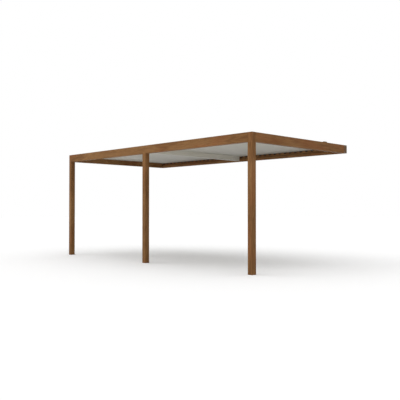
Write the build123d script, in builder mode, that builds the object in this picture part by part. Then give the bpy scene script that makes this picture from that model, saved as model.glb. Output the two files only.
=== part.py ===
from build123d import *
import os

os.makedirs("parts", exist_ok=True)

# Overall size of the frame: left to right, front plane to wall, ground to the top of the beams
width = 6040.0
depth = 3090.0
height = 2500.0

# Width of every beam and post, which makes their faces flush where they meet
beam_width = 105.0

# Square posts: extruded tubes
post_side = beam_width
post_wall = 3.0
post_corner = 4.0

# Shoe inside the foot of each post, bolted down through its plate
shoe_plate = 8.0
shoe_wall = 5.0
shoe_height = 120.0
anchor_spacing = 60.0
anchor_hole = 13.0

# Cap on each corner post
cap_plate = 3.0
cap_skirt = 15.0
cap_skirt_wall = 3.0
cap_fit = 0.5

# Front and rear beams: a closed chamber towards the outside and an open gutter towards the roof
beam_height = 168.0
beam_wall = 3.0
chamber_width = 55.0
lip_height = 53.0
lip_wall = 4.0
groove_rise = 22.0
groove_height = 5.0
groove_depth = 2.0
end_cap_plate = 3.0

# Beam between the two bays, slimmer than the frame and with a raised underside
central_width = 114.0
central_rise = 18.0
central_wall = 3.0

# Brackets that carry a beam's end across the gutter to the chamber
bracket_plate = 10.0
bracket_wall = 6.0
bracket_margin = 12.0

# Louvre blades that run from front to back and turn about pins at their ends
blades_per_bay = 19
blade_thickness = 36.0
blade_wall = 2.0
ceiling_drop = 43.0
channel_reach = 62.0
channel_width = 14.0
channel_depth = 13.0
side_lean = 10.0
shoulder_drop = 4.0
seam_gap = 7.0
drip_gap = 6.0
lip_clearance = 6.0
drip_depth = 9.0
lip_slope = 13.0
blade_cap = 3.0

# Pivot pins, crank pins and the strips and bars that they pass through.
# The many pins and their holes have flat sides, which keeps their copies light.
pivot_pin = 12.0
crank_pin = 6.0
pivot_sides = 8
crank_sides = 6
pin_fit = 0.2
crank_across = -40.0
crank_up = -14.0
rail_thickness = 4.0
rail_height = 28.0
bar_thickness = 4.0
bar_height = 12.0
bar_overhang = 10.0
pin_overhang = 1.0
side_clearance = 5.0
end_clearance = 5.5
pin_tip_clearance = 0.5

# Room between a bay's two sides and the first and last blade
first_gap = 8.0
last_gap = 9.0
strip_wall = 3.0
strip_rise = 18.0

# Small weather sensor on top of the right side beam
sensor_width = 60.0
sensor_length = 120.0
sensor_height = 25.0
sensor_corner = 10.0
sensor_bevel = 6.0
sensor_place = 2285.0

# Faces and levels that several pieces share
front_plane = -post_side / 2
wall_plane = front_plane + depth
frame_bottom = height - beam_height
lip_top = frame_bottom + lip_height
groove_bottom = frame_bottom + groove_rise
front_lip_plane = front_plane + beam_width
rear_lip_plane = wall_plane - beam_width
post_x = (width - post_side) / 2
side_beam_x = (width - beam_width) / 2
bay_length = (width - 2 * beam_width - central_width) / 2

# Blade spacing and the places of a blade's edges, measured from its pivot
pivot_height = height - ceiling_drop + blade_thickness / 2
blade_top = blade_thickness / 2
blade_bottom = -blade_thickness / 2
channel_top = blade_bottom + channel_depth
lip_underside = channel_top + lip_clearance
first_pivot = first_gap + channel_reach
pitch = (bay_length - first_pivot + channel_reach - blade_wall - drip_gap - blade_wall - last_gap) / blades_per_bay
drip_inner = pitch - channel_reach + blade_wall + drip_gap
drip_outer = drip_inner + blade_wall
body_left = -channel_reach + blade_wall + channel_width
body_right = pitch - channel_reach - seam_gap

# Layers between a chamber's inner face and the blades' ends
rail_face = chamber_width + rail_thickness
bar_start = rail_face + side_clearance
bar_end = bar_start + bar_thickness
blade_inset = bar_end + end_clearance
flange_reach = blade_inset - end_clearance
blade_front = front_plane + blade_inset
blade_rear = wall_plane - blade_inset


def write(part, name):
    part.label = name
    export_step(part, f"parts/{name}.step")


def cross_section(y):
    """Plane across the depth at y, with X across it, Z up it, and its normal towards the front."""
    return Plane(origin=(0, y, 0), x_dir=(1, 0, 0), z_dir=(0, -1, 0))


# Posts: rounded square tubes that stand on the ground
def post(x, top):
    with BuildPart() as tube:
        with BuildSketch(Plane(origin=(x, 0, 0))):
            RectangleRounded(post_side, post_side, post_corner)
            Rectangle(post_side - 2 * post_wall, post_side - 2 * post_wall, mode=Mode.SUBTRACT)
        extrude(amount=top)
    return tube.part


write(post(-post_x, height - cap_plate), "post_left")
write(post(0, frame_bottom), "post_middle")
write(post(post_x, height - cap_plate), "post_right")


# Shoes: a plate with four anchor holes and a sleeve that fills the foot of the post
def shoe(x):
    side = post_side - 2 * post_wall
    with BuildPart() as foot:
        with BuildSketch(Plane(origin=(x, 0, 0))):
            Rectangle(side, side)
        extrude(amount=shoe_height)
        with BuildSketch(Plane(origin=(x, 0, shoe_plate))):
            Rectangle(side - 2 * shoe_wall, side - 2 * shoe_wall)
        extrude(amount=shoe_height, mode=Mode.SUBTRACT)
        with Locations(Plane(origin=(x, 0, shoe_plate))):
            with GridLocations(anchor_spacing, anchor_spacing, 2, 2):
                Hole(anchor_hole / 2, depth=shoe_plate)
    return foot.part


for side_name, x in (("left", -post_x), ("middle", 0), ("right", post_x)):
    write(shoe(x), f"post_foot_{side_name}")

# Caps on the two corner posts, each a plate with a skirt inside the tube
with BuildPart() as post_caps:
    with BuildSketch(Plane.XY.offset(height - cap_plate)):
        with Locations((-post_x, 0), (post_x, 0)):
            RectangleRounded(post_side, post_side, post_corner)
    extrude(amount=cap_plate)
    skirt_side = post_side - 2 * post_wall - 2 * cap_fit
    with BuildSketch(Plane.XY.offset(height - cap_plate)):
        with Locations((-post_x, 0), (post_x, 0)):
            Rectangle(skirt_side, skirt_side)
            Rectangle(skirt_side - 2 * cap_skirt_wall, skirt_side - 2 * cap_skirt_wall, mode=Mode.SUBTRACT)
    extrude(amount=-cap_skirt)
write(post_caps.part, "post_caps")


# Front and rear beams: one section, with the gutter towards the roof
def gutter_beam(x_start, x_end, outer_face, inward):
    def point(reach, z):
        return (outer_face + inward * reach, z)

    with BuildPart() as beam:
        with BuildSketch(Plane.YZ.offset(x_start)):
            with BuildLine():
                Polyline(
                    point(0, frame_bottom),
                    point(beam_width, frame_bottom),
                    point(beam_width, groove_bottom),
                    point(beam_width - groove_depth, groove_bottom),
                    point(beam_width - groove_depth, groove_bottom + groove_height),
                    point(beam_width, groove_bottom + groove_height),
                    point(beam_width, lip_top),
                    point(beam_width - lip_wall, lip_top),
                    point(beam_width - lip_wall, frame_bottom + beam_wall),
                    point(chamber_width, frame_bottom + beam_wall),
                    point(chamber_width, height - beam_wall),
                    point(flange_reach, height - beam_wall),
                    point(flange_reach, height),
                    point(0, height),
                    close=True,
                )
            make_face()
            with Locations(point(chamber_width / 2, frame_bottom + beam_height / 2)):
                Rectangle(chamber_width - 2 * beam_wall, beam_height - 2 * beam_wall, mode=Mode.SUBTRACT)
        extrude(amount=x_end - x_start)
    return beam.part


post_face = width / 2 - post_side
rear_end = width / 2 - end_cap_plate
write(gutter_beam(-post_face, post_face, front_plane, 1), "front_beam")
write(gutter_beam(-rear_end, rear_end, wall_plane, -1), "rear_beam")

# Plates that close the two ends of the rear beam
with BuildPart() as rear_beam_end_caps:
    for x_start in (-width / 2, rear_end):
        with BuildSketch(Plane.YZ.offset(x_start)):
            with Locations(((rear_lip_plane + wall_plane) / 2, frame_bottom + beam_height / 2)):
                Rectangle(beam_width, beam_height)
        extrude(amount=end_cap_plate)
write(rear_beam_end_caps.part, "rear_beam_end_caps")


# Side and central beams: plain box sections from front to rear
def box_beam(x, beam_side, bottom, wall):
    y_start = front_lip_plane
    tall = height - bottom
    with BuildPart() as beam:
        with BuildSketch(cross_section(y_start)):
            with Locations((x, bottom + tall / 2)):
                Rectangle(beam_side, tall)
                Rectangle(beam_side - 2 * wall, tall - 2 * wall, mode=Mode.SUBTRACT)
        extrude(amount=y_start - rear_lip_plane)
    return beam.part


write(box_beam(-side_beam_x, beam_width, frame_bottom, beam_wall), "side_beam_left")
write(box_beam(side_beam_x, beam_width, frame_bottom, beam_wall), "side_beam_right")
write(box_beam(0, central_width, frame_bottom + central_rise, central_wall), "central_beam")


# Brackets: a plate on the beam's end and a sleeve from it to the chamber, clear of the gutter
def bracket(x, beam_side, y_end, towards_wall):
    plate_top = height - beam_wall
    plate_middle = (lip_top + plate_top) / 2
    plate_tall = plate_top - lip_top
    sleeve_side = beam_side - 2 * bracket_margin
    sleeve_tall = plate_tall - 2 * bracket_margin
    reach = beam_width - chamber_width
    with BuildPart() as block:
        with BuildSketch(cross_section(y_end)):
            with Locations((x, plate_middle)):
                Rectangle(beam_side, plate_tall)
        extrude(amount=-towards_wall * bracket_plate)
        with BuildSketch(cross_section(y_end + towards_wall * bracket_plate)):
            with Locations((x, plate_middle)):
                Rectangle(sleeve_side, sleeve_tall)
                Rectangle(sleeve_side - 2 * bracket_wall, sleeve_tall - 2 * bracket_wall, mode=Mode.SUBTRACT)
        extrude(amount=-towards_wall * (reach - bracket_plate))
    return block.part


write(
    Compound(
        children=[
            bracket(0, central_width, front_lip_plane, -1),
            bracket(0, central_width, rear_lip_plane, 1),
            bracket(-side_beam_x, beam_width - 2 * end_cap_plate, rear_lip_plane, 1),
            bracket(side_beam_x, beam_width - 2 * end_cap_plate, rear_lip_plane, 1),
        ]
    ),
    "beam_brackets",
)


# The two bays, each from its left face to its right face, with the pivots' places
bays = {
    "left": -central_width / 2 - bay_length,
    "right": central_width / 2,
}


def pivots(bay_start):
    return [bay_start + first_pivot + number * pitch for number in range(blades_per_bay)]


# Pivot rails: drilled strips on the chambers' inner faces that carry the blades' pins
def pivot_rails(y_start, towards_wall):
    with BuildPart() as rails:
        for bay_start in bays.values():
            with BuildSketch(cross_section(y_start)):
                with Locations((bay_start + bay_length / 2, pivot_height)):
                    Rectangle(bay_length, rail_height)
                with Locations(*[(x, pivot_height) for x in pivots(bay_start)]):
                    RegularPolygon(pivot_pin / 2 + pin_fit, pivot_sides, major_radius=False, mode=Mode.SUBTRACT)
            extrude(amount=-towards_wall * rail_thickness)
    return rails.part


write(pivot_rails(front_plane + chamber_width, 1), "pivot_rails_front")
write(pivot_rails(wall_plane - chamber_width, -1), "pivot_rails_rear")

# Closing strips at each bay's left side: a lip with a drip over the first blade's channel
with BuildPart() as starting_strips:
    for bay_start in bays.values():
        lip_z = pivot_height + lip_underside
        reach = drip_outer - pitch + first_pivot
        with BuildSketch(cross_section(front_lip_plane)):
            with BuildLine():
                Polyline(
                    (bay_start, lip_z),
                    (bay_start + reach - blade_wall, lip_z),
                    (bay_start + reach - blade_wall, lip_z - drip_depth),
                    (bay_start + reach, lip_z - drip_depth),
                    (bay_start + reach, lip_z + blade_wall),
                    (bay_start + strip_wall, lip_z + blade_wall),
                    (bay_start + strip_wall, lip_z + strip_rise),
                    (bay_start, lip_z + strip_rise),
                    close=True,
                )
            make_face()
        extrude(amount=front_lip_plane - rear_lip_plane)
write(starting_strips.part, "starting_strips")

# Closing strips at each bay's right side: a channel under the last blade's lip
with BuildPart() as closing_strips:
    for bay_start in bays.values():
        bay_end = bay_start + bay_length
        channel_start = bay_start + first_pivot + blades_per_bay * pitch - channel_reach
        floor_z = pivot_height + blade_bottom
        with BuildSketch(cross_section(front_lip_plane)):
            with BuildLine():
                Polyline(
                    (channel_start, floor_z),
                    (bay_end, floor_z),
                    (bay_end, floor_z + blade_thickness),
                    (bay_end - strip_wall, floor_z + blade_thickness),
                    (bay_end - strip_wall, floor_z + blade_wall),
                    (channel_start + blade_wall, floor_z + blade_wall),
                    (channel_start + blade_wall, floor_z + channel_depth),
                    (channel_start, floor_z + channel_depth),
                    close=True,
                )
            make_face()
        extrude(amount=front_lip_plane - rear_lip_plane)
write(closing_strips.part, "closing_strips")


# Blades: a hollow body with a channel along its left edge and a lip with a drip along its right
def body_outline(x):
    """Edges around the closed body of a blade whose pivot is at x."""
    shoulder = (x + body_left + side_lean, pivot_height + blade_top - shoulder_drop)
    crown = (x + (body_left + body_right) / 2, pivot_height + blade_top)
    eave = (x + drip_outer - lip_slope, pivot_height + blade_top - shoulder_drop)
    tip = (x + body_right, pivot_height + lip_underside)
    with BuildLine() as outline:
        ThreePointArc(shoulder, crown, eave)
        Polyline(
            eave,
            tip,
            (x + body_right, pivot_height + blade_bottom),
            (x + body_left, pivot_height + blade_bottom),
            shoulder,
        )
    return outline.edges()


def blade(x):
    floor_z = pivot_height + blade_bottom
    lip_z = pivot_height + lip_underside
    eave_z = pivot_height + blade_top - shoulder_drop
    with BuildPart() as louvre:
        with BuildSketch(cross_section(blade_front)):
            make_face(body_outline(x))
            offset(amount=-blade_wall, kind=Kind.INTERSECTION, mode=Mode.SUBTRACT)
            with BuildLine():
                Polyline(
                    (x - channel_reach, floor_z),
                    (x + body_left + blade_wall, floor_z),
                    (x + body_left + blade_wall, floor_z + blade_wall),
                    (x - channel_reach + blade_wall, floor_z + blade_wall),
                    (x - channel_reach + blade_wall, floor_z + channel_depth),
                    (x - channel_reach, floor_z + channel_depth),
                    close=True,
                )
            make_face()
            with BuildLine():
                Polyline(
                    (x + body_right - blade_wall, lip_z),
                    (x + drip_inner, lip_z),
                    (x + drip_inner, lip_z - drip_depth),
                    (x + drip_outer, lip_z - drip_depth),
                    (x + drip_outer, lip_z + blade_wall),
                    (x + drip_outer - lip_slope, eave_z),
                    close=True,
                )
            make_face()
        extrude(amount=blade_front - blade_rear)
        for y, towards_wall in ((blade_front, 1), (blade_rear, -1)):
            with BuildSketch(cross_section(y)):
                make_face(body_outline(x))
            extrude(amount=-towards_wall * blade_cap)
            with BuildSketch(cross_section(y)):
                with Locations((x, pivot_height)):
                    RegularPolygon(pivot_pin / 2, pivot_sides)
            extrude(amount=towards_wall * (blade_inset - chamber_width - pin_tip_clearance))
        with BuildSketch(cross_section(blade_front)):
            with Locations((x + crank_across, pivot_height + crank_up)):
                RegularPolygon(crank_pin / 2, crank_sides)
        extrude(amount=blade_inset - bar_start + pin_overhang)
    return louvre.part


for bay_name, bay_start in bays.items():
    for number, x in enumerate(pivots(bay_start), start=1):
        write(blade(x), f"blade_{bay_name}_{number:02d}")


# Drive bars: a drilled flat in each bay that ties all its crank pins together
def drive_bar(bay_start):
    cranks = [x + crank_across for x in pivots(bay_start)]
    bar_length = cranks[-1] - cranks[0] + 2 * bar_overhang
    bar_z = pivot_height + crank_up
    with BuildPart() as bar:
        with BuildSketch(cross_section(front_plane + bar_start)):
            with Locations(((cranks[0] + cranks[-1]) / 2, bar_z)):
                Rectangle(bar_length, bar_height)
            with Locations(*[(x, bar_z) for x in cranks]):
                RegularPolygon(crank_pin / 2 + pin_fit, crank_sides, major_radius=False, mode=Mode.SUBTRACT)
        extrude(amount=-bar_thickness)
    return bar.part


for bay_name, bay_start in bays.items():
    write(drive_bar(bay_start), f"drive_bar_{bay_name}")

# Weather sensor: a low rounded housing
with BuildPart() as rain_sensor:
    with BuildSketch(Plane(origin=(side_beam_x, sensor_place, height))):
        RectangleRounded(sensor_width, sensor_length, sensor_corner)
    extrude(amount=sensor_height)
    chamfer(rain_sensor.faces().sort_by(Axis.Z)[-1].edges(), sensor_bevel)
write(rain_sensor.part, "rain_sensor")

print(f"pitch {pitch:.2f}, bay {bay_length:.1f}, pivots at {pivot_height:.1f}, blades {blade_rear - blade_front:.1f} long")
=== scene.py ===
import math

import bmesh
import bpy
import numpy as np
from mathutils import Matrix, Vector


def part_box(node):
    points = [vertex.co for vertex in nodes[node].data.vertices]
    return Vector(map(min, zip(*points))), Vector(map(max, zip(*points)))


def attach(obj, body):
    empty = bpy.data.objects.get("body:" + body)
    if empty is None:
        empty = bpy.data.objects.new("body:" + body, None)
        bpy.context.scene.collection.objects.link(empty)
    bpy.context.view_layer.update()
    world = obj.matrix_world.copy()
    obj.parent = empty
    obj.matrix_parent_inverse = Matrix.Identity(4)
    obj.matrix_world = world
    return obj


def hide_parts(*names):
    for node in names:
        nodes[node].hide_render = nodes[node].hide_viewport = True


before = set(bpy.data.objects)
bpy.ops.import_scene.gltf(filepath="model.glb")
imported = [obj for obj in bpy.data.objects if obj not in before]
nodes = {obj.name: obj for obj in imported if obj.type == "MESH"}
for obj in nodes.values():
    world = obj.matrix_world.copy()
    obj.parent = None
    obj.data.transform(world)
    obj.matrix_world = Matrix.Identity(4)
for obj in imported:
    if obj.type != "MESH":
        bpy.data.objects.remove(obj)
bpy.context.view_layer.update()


# Viewpoint: eye height in front of the right-hand corner, looking along the diagonal of the roof.
# The place, the heading and the lens come from the perspective of the posts and beams.
camera = bpy.data.objects.new("viewpoint", bpy.data.cameras.new("viewpoint"))
camera.data.sensor_width = 36.0
camera.data.lens = 49.96
camera.data.clip_end = 200.0
camera.location = (9.316, -7.421, 1.156)
camera.rotation_mode = "QUATERNION"
camera.rotation_quaternion = Vector((-0.7178, 0.6961, 0.0155)).to_track_quat("-Z", "Y")
bpy.context.scene.collection.objects.link(camera)
bpy.context.scene.camera = camera


# Posts: square aluminium tubes with a wood-effect coating, a print of brown oak baked into the
# powder coat. The grain runs up each tube, in wavy bands as on a plain-sawn board, with fine dark
# pores along it.
class Field:
    """A number or colour that varies over a surface. Arithmetic on it adds Math nodes."""

    def __init__(self, owner, socket):
        self.owner = owner
        self.socket = socket

    def math(self, operation, *others):
        """A Math node, with this field as its first value."""
        values = dict(enumerate((self, *others)))
        return self.owner.node("Math", {"operation": operation}, values)

    def __add__(self, other):
        return self.math("ADD", other)

    def __mul__(self, other):
        return self.math("MULTIPLY", other)

    def __sub__(self, other):
        return self.math("SUBTRACT", other)

    def __rsub__(self, other):
        return self * -1.0 + other

    __radd__ = __add__
    __rmul__ = __mul__

    def between(self, low, high):
        """0 below low, 1 above high, and smooth between them."""
        return self.owner.node(
            "MapRange",
            {"interpolation_type": "SMOOTHSTEP"},
            {"Value": self, "From Min": low, "From Max": high},
        )


class Nodes:
    """The node tree of a material or of the world."""

    def __init__(self, owner):
        owner.use_nodes = True
        self.tree = owner.node_tree

    def first(self, kind):
        """The node of this type that the tree starts with."""
        return next(node for node in self.tree.nodes if node.type == kind)

    def node(self, kind, settings, sockets, output=0):
        """Adds a node, sets it, and then feeds its sockets with values or fields."""
        made = self.tree.nodes.new("ShaderNode" + kind)
        for key, value in settings.items():
            setattr(made, key, value)
        for key, value in sockets.items():
            self.feed(made.inputs[key], value)
        return Field(self, made.outputs[output])

    def feed(self, target, value):
        if isinstance(value, Field):
            self.tree.links.new(value.socket, target)
        else:
            target.default_value = value


class Finish(Nodes):
    """One material: the fields that it is made of, and the shader that they feed."""

    def __init__(self, name):
        self.material = bpy.data.materials.new(name)
        super().__init__(self.material)
        self.point = self.node("TexCoord", {}, {}, "Object")

    def scaled(self, where, factors):
        """The vector times a factor along each axis."""
        return self.node("VectorMath", {"operation": "MULTIPLY"}, {0: where, 1: factors})

    def noise(self, where, scale, detail=2.0, roughness=0.5):
        sockets = {"Vector": where, "Scale": scale, "Detail": detail, "Roughness": roughness}
        return self.node("TexNoise", {}, sockets)

    def mix(self, share, low, high):
        """The colour low where share is 0, and high where it is 1. A Mix node takes its colours at
        sockets 6 and 7, and gives one at 2."""
        return self.node("Mix", {"data_type": "RGBA"}, {0: share, 6: low, 7: high}, 2)

    def done(self, colour, roughness, height, depth, **constants):
        """Feeds the shader. Height is a bump that is depth metres high."""
        shader = self.first("BSDF_PRINCIPLED")
        bump = self.node("Bump", {}, {"Height": height, "Distance": depth})
        self.feed(shader.inputs["Base Color"], colour)
        self.feed(shader.inputs["Roughness"], roughness)
        self.feed(shader.inputs["Normal"], bump)
        for key, value in constants.items():
            shader.inputs[key.replace("_", " ")].default_value = value
        return self.material


def wear(names, material):
    """These CAD nodes get the material in place of their plain one."""
    for name in names:
        slots = nodes[name].data.materials
        slots.clear()
        slots.append(material)


OAK_PALE = (0.392, 0.212, 0.088, 1.0)
OAK_BROWN = (0.302, 0.146, 0.052, 1.0)
OAK_DARK = (0.156, 0.067, 0.023, 1.0)
OAK_RED = (0.322, 0.120, 0.046, 1.0)


def wood_effect(name, along, offset):
    """Oak print whose grain runs along one axis. Its bands are the level lines of a noise that is
    drawn out along the grain, its streaks and pores are finer noises drawn out further, and slow
    patches make it paler or redder over half a metre or so."""
    finish = Finish(name)
    moved = finish.node("VectorMath", {"operation": "ADD"}, {0: finish.point, 1: offset})

    def grain(squeeze, scale, detail, roughness):
        """Noise drawn out along the grain, by one over squeeze."""
        factors = tuple(squeeze if axis == along else 1.0 for axis in range(3))
        return finish.noise(finish.scaled(moved, factors), scale, detail, roughness)

    rings = grain(0.12, 8.0, 2.0, 0.45) * 8.0
    bands = (rings * math.tau).math("SINE") * 0.5 + 0.5
    streaks = grain(0.03, 60.0, 5.0, 0.70).between(0.32, 0.68)
    pores = grain(0.02, 320.0, 2.0, 0.60).between(0.54, 0.66)
    patches = grain(0.35, 2.6, 2.0, 0.50).between(0.34, 0.66)
    blush = grain(0.30, 4.1, 1.0, 0.50).between(0.50, 0.72)

    brown = finish.mix(bands * 0.45 + streaks * 0.40 + patches * 0.20, OAK_DARK, OAK_BROWN)
    lifted = finish.mix(patches * 0.35 + streaks * 0.25, brown, OAK_PALE)
    warm = finish.mix(blush * 0.50, lifted, OAK_RED)
    colour = finish.mix(pores * 0.60, warm, OAK_DARK)
    roughness = 0.56 + streaks * 0.08 + pores * 0.12
    height = streaks * 0.5 - pores * 0.6
    return finish.done(colour, roughness, height, 0.0003, Specular_IOR_Level=0.08)


upright = wood_effect("wood_effect_upright", 2, (0.0, 0.0, 0.0))
wear(["post_left", "post_middle", "post_right"], upright)


# Shoes in the feet of the posts: welded aluminium, left bare, and bolted down through their plates.
# The metal is drawn, with faint lines along it and a cloudy oxide.
def bare_metal(name, along):
    """Drawn aluminium: fine lines along one axis, under a slow cloudiness."""
    finish = Finish(name)
    drawn_out = tuple(0.03 if axis == along else 1.0 for axis in range(3))
    lines = finish.noise(finish.scaled(finish.point, drawn_out), 500.0, 3.0, 0.6)
    cloud = finish.noise(finish.point, 9.0)
    colour = finish.mix(cloud, (0.48, 0.48, 0.49, 1.0), (0.64, 0.64, 0.65, 1.0))
    return finish.done(colour, 0.30 + lines * 0.24, lines, 0.0002, Metallic=1.0)


metal_upright = bare_metal("bare_aluminium_upright", 2)
wear(["post_foot_left", "post_foot_middle", "post_foot_right"], metal_upright)


# Front and rear beams, and the caps on the corner posts: the same coating, printed lengthways on
# the beams, which are cut square and butted against the posts.
lengthways = wood_effect("wood_effect_lengthways", 0, (3.1, 1.7, 0.4))
wear(["front_beam", "rear_beam", "post_caps"], lengthways)


# Side beams: extruded box sections in the same coating, printed lengthways too. Each butts against
# its corner post in front, and its rear end sits on a bracket over the gutter.
crossways = wood_effect("wood_effect_crossways", 1, (1.3, 5.2, 2.6))
wear(["side_beam_left", "side_beam_right"], crossways)


# Central beam, strips at the sides of the bays, and blades: extruded aluminium in a cream powder
# coat, matt, with the fine pebble of the powder and faint lines from the die along each length.
CREAM = (0.780, 0.748, 0.655, 1.0)
CREAM_SHADE = (0.742, 0.711, 0.617, 1.0)


def powder_coat(name):
    """Cream paint: slow clouds of tone, faint lines along Y, and a fine pebble."""
    finish = Finish(name)
    cloud = finish.noise(finish.point, 1.6, 3.0)
    lines = finish.noise(finish.scaled(finish.point, (1.0, 0.02, 1.0)), 160.0, 3.0, 0.6)
    pebble = finish.noise(finish.point, 650.0)
    colour = finish.mix(cloud.between(0.3, 0.7) * 0.7 + lines * 0.3, CREAM_SHADE, CREAM)
    height = pebble * 0.7 + lines * 0.3
    return finish.done(colour, 0.48 + cloud * 0.12, height, 0.00006, Specular_IOR_Level=0.35)


blades = sorted(name for name in nodes if name.startswith("blade_"))
cream = powder_coat("cream_powder_coat")
wear(blades + ["central_beam", "starting_strips", "closing_strips"], cream)


# Trim on each blade: a moulded cap at either end, held by two screws, whose spout hangs under the
# blade's channel and throws the water into the gutter, and a rubber bulb under the blade's lip that
# the next blade's channel closes against. It all turns with its blade.
def moulded(name, deep, worn):
    """Plastic or rubber: a fine even grain under slow clouds."""
    finish = Finish(name)
    grain = finish.noise(finish.point, 900.0, 3.0, 0.6)
    cloud = finish.noise(finish.point, 6.0)
    colour = finish.mix(cloud, deep, worn)
    return finish.done(colour, 0.55 + grain * 0.15, grain, 0.0003, Specular_IOR_Level=0.15)


def carried(outline, y_start, y_end):
    """An outline of x and z carried along Y. Its points come first at one end and then at the
    other, the quads join neighbours, and one face closes each end."""
    count = len(outline)
    x, z = np.asarray(outline, float).T
    here = np.arange(count)
    there = np.roll(here, -1)
    quads = np.column_stack((here, there, there + count, here + count)).tolist()
    points = np.vstack([np.column_stack((x, np.full(count, y), z)) for y in (y_start, y_end)])
    return points, quads + [here.tolist(), (here + count).tolist()]


def turned(profile, sides, centres, outward):
    """A profile of radius and height turned about an axis, and copied to each centre: a point is
    centre + radius * (cos a * across + sin a * aside) + height * outward. Radius 0 is a pole."""
    radius, height = np.asarray(profile, float).T
    outward = np.asarray(outward, float)
    across = np.roll(outward, 1)
    aside = np.cross(outward, across)
    angle = np.linspace(0.0, math.tau, sides, endpoint=False)[:, None]
    ring = np.cos(angle) * across + np.sin(angle) * aside
    form = radius[:, None, None] * ring + height[:, None, None] * outward
    points = np.asarray(centres, float)[:, None, None, :] + form
    number = np.arange(points.size // 3).reshape(points.shape[:3])
    turn = np.roll(number, -1, axis=2)
    quads = np.stack((number[:, :-1], turn[:, :-1], turn[:, 1:], number[:, 1:]), axis=-1)
    return points.reshape(-1, 3), quads.reshape(-1, 4).tolist()


def together(shapes):
    """Several shapes of points and faces as one."""
    starts = np.cumsum([0] + [len(points) for points, _ in shapes]).tolist()
    faces = [
        [corner + start for corner in face]
        for start, (_, group) in zip(starts, shapes)
        for face in group
    ]
    return np.vstack([points for points, _ in shapes]), faces


def fitted(name, body, shapes):
    """One piece from shapes and their materials. Points that meet are welded, every face is turned
    outward, and edges sharper than 35 degrees stay sharp. The piece rides on a body."""
    points, faces = together([shape for shape, _ in shapes])
    mesh = bpy.data.meshes.new(name)
    mesh.from_pydata(points.tolist(), [], faces)
    for _, material in shapes:
        mesh.materials.append(material)
    wears = [number for number, (shape, _) in enumerate(shapes) for face in shape[1]]
    mesh.polygons.foreach_set("material_index", wears)
    form = bmesh.new()
    form.from_mesh(mesh)
    bmesh.ops.remove_doubles(form, verts=form.verts, dist=1e-6)
    bmesh.ops.recalc_face_normals(form, faces=form.faces)
    form.to_mesh(mesh)
    form.free()
    mesh.shade_smooth()
    mesh.set_sharp_from_angle(angle=math.radians(35))
    made = bpy.data.objects.new(name, mesh)
    bpy.context.scene.collection.objects.link(made)
    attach(made, body)
    return made


black_rubber = moulded("black_rubber", (0.018, 0.016, 0.014, 1.0), (0.032, 0.028, 0.025, 1.0))
dark_moulding = moulded("dark_moulding", (0.042, 0.026, 0.015, 1.0), (0.062, 0.039, 0.023, 1.0))
screw_steel = bare_metal("screw_steel", 2)

# A blade turns about a point at this height, this far in from the outer edge of its channel, and
# its pins reach this far past its ends.
pivot_height = 2.475
channel_reach = 0.062
pin_reach = 0.018

# Outline of a cap about the pivot: round the spout, along the underside and the lip, and back over
# the top.
CAP = np.array([
    (-0.060, -0.018), (-0.059, -0.040), (-0.056, -0.046), (-0.050, -0.049),
    (-0.010, -0.049), (-0.002, -0.046), (0.002, -0.040), (0.006, -0.0185),
    (0.079, -0.0185), (0.079, 0.0), (0.083, 0.0125), (0.050, 0.0160),
    (0.017, 0.0170), (-0.010, 0.0160), (-0.036, 0.0125), (-0.045, -0.016),
])
cap_plate = 0.0025
CAP_SCREWS = [(-0.024, 0.004), (0.052, 0.002)]
PAN_HEAD = [(0.0, 0.0), (0.0042, 0.0), (0.0042, 0.0008), (0.0030, 0.0014), (0.0, 0.0016)]

# Outline of a bulb: the lower half of an ellipse.
half_turn = np.linspace(math.pi, math.tau, 9)
BULB = np.column_stack((0.0025 * np.cos(half_turn), 0.001 + 0.0055 * np.sin(half_turn)))
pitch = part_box("blade_left_02")[0].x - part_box("blade_left_01")[0].x
seal_inset = 0.001
bulb_across = pitch - channel_reach + seal_inset

for name in blades:
    low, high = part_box(name)
    pivot = np.array((low.x + channel_reach, pivot_height))
    ends = [(low.y + pin_reach, -1.0), (high.y - pin_reach, 1.0)]
    caps, heads = [], []
    for face, way in ends:
        outer = face + way * cap_plate
        places = [(pivot[0] + x, outer, pivot[1] + z) for x, z in CAP_SCREWS]
        caps.append(carried(pivot + CAP, face, outer))
        heads.append(turned(PAN_HEAD, 8, places, (0.0, way, 0.0)))
    bulb = carried(pivot + BULB + (bulb_across, 0.0), ends[0][0], ends[1][0])
    shapes = [
        (together(caps), dark_moulding),
        (bulb, black_rubber),
        (together(heads), screw_steel),
    ]
    fitted(name.replace("blade", "blade_trim"), name, shapes)


# Seals under the fixed lips at the left of each bay: the same rubber bulb, pushed into the lip from
# one end, for the channel of the bay's first blade to close against.
strip_low, strip_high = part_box("starting_strips")
fixed_seals = [
    carried(
        (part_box(f"blade_{bay}_01")[0].x + seal_inset, pivot_height) + BULB,
        strip_low.y,
        strip_high.y,
    )
    for bay in ("left", "right")
]
fitted("fixed_lip_seals", "frame", [(together(fixed_seals), black_rubber)])


# Pivot rails and their bushes: drilled bare aluminium on the inner faces of the beams, with a
# flanged nylon bush pressed into each hole for the blade's pin to turn in.
metal_lengthways = bare_metal("bare_aluminium_lengthways", 0)
wear(["pivot_rails_front", "pivot_rails_rear"], metal_lengthways)
BUSH = [
    (0.0064, 0.0), (0.0105, 0.0), (0.0105, 0.0012),
    (0.0098, 0.0018), (0.0064, 0.0018), (0.0064, 0.0),
]
pivots = [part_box(name)[0].x + channel_reach for name in blades]
for place, corner, way in (("front", 1, 1.0), ("rear", 0, -1.0)):
    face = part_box(f"pivot_rails_{place}")[corner].y
    bushes = turned(BUSH, 16, [(x, face, pivot_height) for x in pivots], (0.0, way, 0.0))
    fitted(f"pivot_bushes_{place}", "frame", [(bushes, dark_moulding)])


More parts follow.
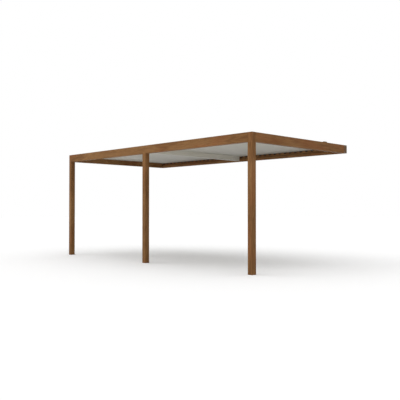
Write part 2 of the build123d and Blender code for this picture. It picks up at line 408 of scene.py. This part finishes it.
# Drive bars: drilled aluminium flats that tie the crank pins together, each pin kept in by a
# pressed steel washer on its tip.
wear(["drive_bar_left", "drive_bar_right"], metal_lengthways)
CLIP = [
    (0.0031, 0.0), (0.0056, 0.0), (0.0054, 0.0006),
    (0.0036, 0.0009), (0.0031, 0.0008), (0.0031, 0.0),
]
crank_across = -0.040
crank_up = -0.014
for bay in ("left", "right"):
    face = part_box(f"drive_bar_{bay}")[0].y
    places = [
        (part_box(name)[0].x + channel_reach + crank_across, face, pivot_height + crank_up)
        for name in blades
        if bay in name
    ]
    clips = turned(CLIP, 12, places, (0.0, -1.0, 0.0))
    fitted(f"crank_clips_{bay}", f"drive_bar_{bay}", [(clips, screw_steel)])


# Brackets over the gutters: welded aluminium in the frame's coating, with a socket screw at each
# corner of the plate that closes the beam's end.
wear(["beam_brackets"], wood_effect("wood_effect_brackets", 1, (2.2, 0.6, 4.4)))
SOCKET_HEAD = [
    (0.0, 0.0), (0.0045, 0.0), (0.0045, 0.0034), (0.0040, 0.0040),
    (0.0023, 0.0040), (0.0021, 0.0015), (0.0, 0.0015),
]
bracket_plate = 0.010
screw_rise = 0.006
plate_low, plate_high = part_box("beam_brackets")
heads = []
for beam, corner, way, inset in (
    ("central_beam", 0, -1.0, 0.0065),
    ("central_beam", 1, 1.0, 0.0065),
    ("side_beam_left", 1, 1.0, 0.0095),
    ("side_beam_right", 1, 1.0, 0.0095),
):
    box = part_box(beam)
    places = [
        (x, box[corner].y + way * bracket_plate, z)
        for x in (box[0].x + inset, box[1].x - inset)
        for z in (plate_low.z + screw_rise, plate_high.z - screw_rise)
    ]
    heads.append(turned(SOCKET_HEAD, 12, places, (0.0, way, 0.0)))
fitted("bracket_screws", "frame", [(together(heads), screw_steel)])


# End caps of the rear beam: brown moulded plates with four countersunk screws, which leave only the
# flat heads in sight.
brown_moulding = moulded("brown_moulding", (0.150, 0.084, 0.042, 1.0), (0.200, 0.115, 0.060, 1.0))
wear(["rear_beam_end_caps"], brown_moulding)
FLAT_HEAD = [
    (0.0, 0.0), (0.0048, 0.0), (0.0047, 0.0003),
    (0.0017, 0.0003), (0.0014, 0.0001), (0.0, 0.0001),
]
corner_inset = 0.014
low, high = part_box("rear_beam_end_caps")
corners = [
    (y, z)
    for y in (low.y + corner_inset, high.y - corner_inset)
    for z in (low.z + corner_inset, high.z - corner_inset)
]
heads = [
    turned(FLAT_HEAD, 16, [(x, y, z) for y, z in corners], (way, 0.0, 0.0))
    for x, way in ((low.x, -1.0), (high.x, 1.0))
]
fitted("end_cap_screws", "frame", [(together(heads), screw_steel)])


# Weather sensor: a brown moulded housing on the right side beam, round-cornered and crowned so that
# rain runs off, on a thin base plate.
def crowned(low, high, corner, crown):
    """A dome on a box. A point at angle a round it and b up it is centre + half width * c(a) c'(b)
    and half length * s(a) c'(b), with height * s'(b), where c and s are cosine and sine to a power
    below 1, which squares the corners."""
    def bent(value, power):
        return np.sign(value) * np.abs(value) ** power

    round_it, up_it = np.meshgrid(
        np.linspace(0.0, math.tau, 64, endpoint=False),
        np.linspace(0.0, math.pi / 2, 14),
    )
    middle = (np.array(low) + np.array(high)) / 2
    half = (np.array(high) - np.array(low)) / 2
    inward = bent(np.cos(up_it), crown)
    x = middle[0] + half[0] * bent(np.cos(round_it), corner) * inward
    y = middle[1] + half[1] * bent(np.sin(round_it), corner) * inward
    z = low[2] + 2.0 * half[2] * bent(np.sin(up_it), crown)
    number = np.arange(x.size).reshape(x.shape)
    turn = np.roll(number, -1, axis=1)
    quads = np.stack((number[:-1], turn[:-1], turn[1:], number[1:]), axis=-1)
    points = np.column_stack((x.ravel(), y.ravel(), z.ravel()))
    return points, quads.reshape(-1, 4).tolist() + [number[0].tolist()]


low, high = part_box("rain_sensor")
base_height = 0.003
base_edge = 0.003
base = crowned(low, (high.x, high.y, low.z + base_height), 0.45, 0.20)
dome_low = low + Vector((base_edge, base_edge, base_height))
dome_high = high - Vector((base_edge, base_edge, 0.0))
dome = crowned(dome_low, dome_high, 0.45, 0.45)
housing = [(together([base, dome]), brown_moulding)]
sensor = fitted("sensor_housing", "frame", housing)
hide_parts("rain_sensor")


# Studio: a white floor that keeps the soft shadow and is clear from underneath, white all round, a
# dome of light that is brightest overhead, and a large soft lamp from the upper left in front.
def seen(owner):
    """1 for what the camera, a reflection or clear glass shows, and 0 for light on the object."""
    camera_ray, glossy_ray, clear_ray = (
        owner.node("LightPath", {}, {}, f"Is {kind} Ray")
        for kind in ("Camera", "Glossy", "Transmission")
    )
    return camera_ray.math("MAXIMUM", glossy_ray.math("MAXIMUM", clear_ray))


# Painted shade: the floor throws less light back from under and behind the roof, where the roof's
# shade falls, and a little more of it from the right than from the left. The camera sees a white
# floor instead.
paper = Finish("studio_floor")
along, back = (paper.node("SeparateXYZ", {}, {"Vector": paper.point}, axis) for axis in "XY")
# Painted shade mask: 0 in front of the roof, rising to 1 from the roof's back half backwards, and
# only 0.55 far out to the right.
under = back.between(-1.6, 1.6) * (1.0 - along.between(2.5, 5.0) * 0.45)
painted_shade_grey = paper.mix(under, (0.95, 0.95, 0.95, 1.0), (0.10, 0.10, 0.10, 1.0))
bounce = paper.node("BsdfDiffuse", {}, {"Color": painted_shade_grey})
white = paper.node("BsdfDiffuse", {}, {"Color": (0.97, 0.97, 0.97, 1.0)})
lift = paper.node("Emission", {}, {"Color": (1.0, 1.0, 1.0, 1.0), "Strength": 0.06})
bright = paper.node("AddShader", {}, {0: white, 1: lift})
above = paper.node("MixShader", {}, {0: seen(paper), 1: bounce, 2: bright})
clear = paper.node("BsdfTransparent", {}, {})
underneath = paper.node("NewGeometry", {}, {}, "Backfacing")
shown = paper.node("MixShader", {}, {0: underneath, 1: above, 2: clear})
paper.feed(paper.first("OUTPUT_MATERIAL").inputs["Surface"], shown)

reach = 60.0
below = -0.0005
corners = [(-reach, -reach), (reach, -reach), (reach, reach), (-reach, reach)]
floor_mesh = bpy.data.meshes.new("studio_floor")
floor_mesh.from_pydata([(x, y, below) for x, y in corners], [], [(0, 1, 2, 3)])
floor_mesh.materials.append(paper.material)
floor = bpy.data.objects.new("studio_floor", floor_mesh)
bpy.context.scene.collection.objects.link(floor)

world = bpy.data.worlds.new("studio")
bpy.context.scene.world = world
sky = Nodes(world)
direction = sky.node("TexCoord", {}, {}, "Generated")
overhead = sky.node("SeparateXYZ", {}, {"Vector": direction}, "Z").math("MAXIMUM", 0.0)
glow = overhead * 1.38 + 0.02
strength = sky.node("Mix", {"data_type": "FLOAT"}, {0: seen(sky), 2: glow, 3: 1.0})
background = sky.first("BACKGROUND")
background.inputs["Color"].default_value = (1.0, 1.0, 1.0, 1.0)
sky.feed(background.inputs["Strength"], strength)

lamp = bpy.data.objects.new("soft_lamp", bpy.data.lights.new("soft_lamp", "SUN"))
lamp.data.energy = 0.30
lamp.data.angle = 0.6
lamp.rotation_mode = "QUATERNION"
lamp.rotation_quaternion = Vector((0.55, 0.55, -0.62)).to_track_quat("-Z", "Y")
bpy.context.scene.collection.objects.link(lamp)

bpy.context.scene.view_settings.view_transform = "Standard"
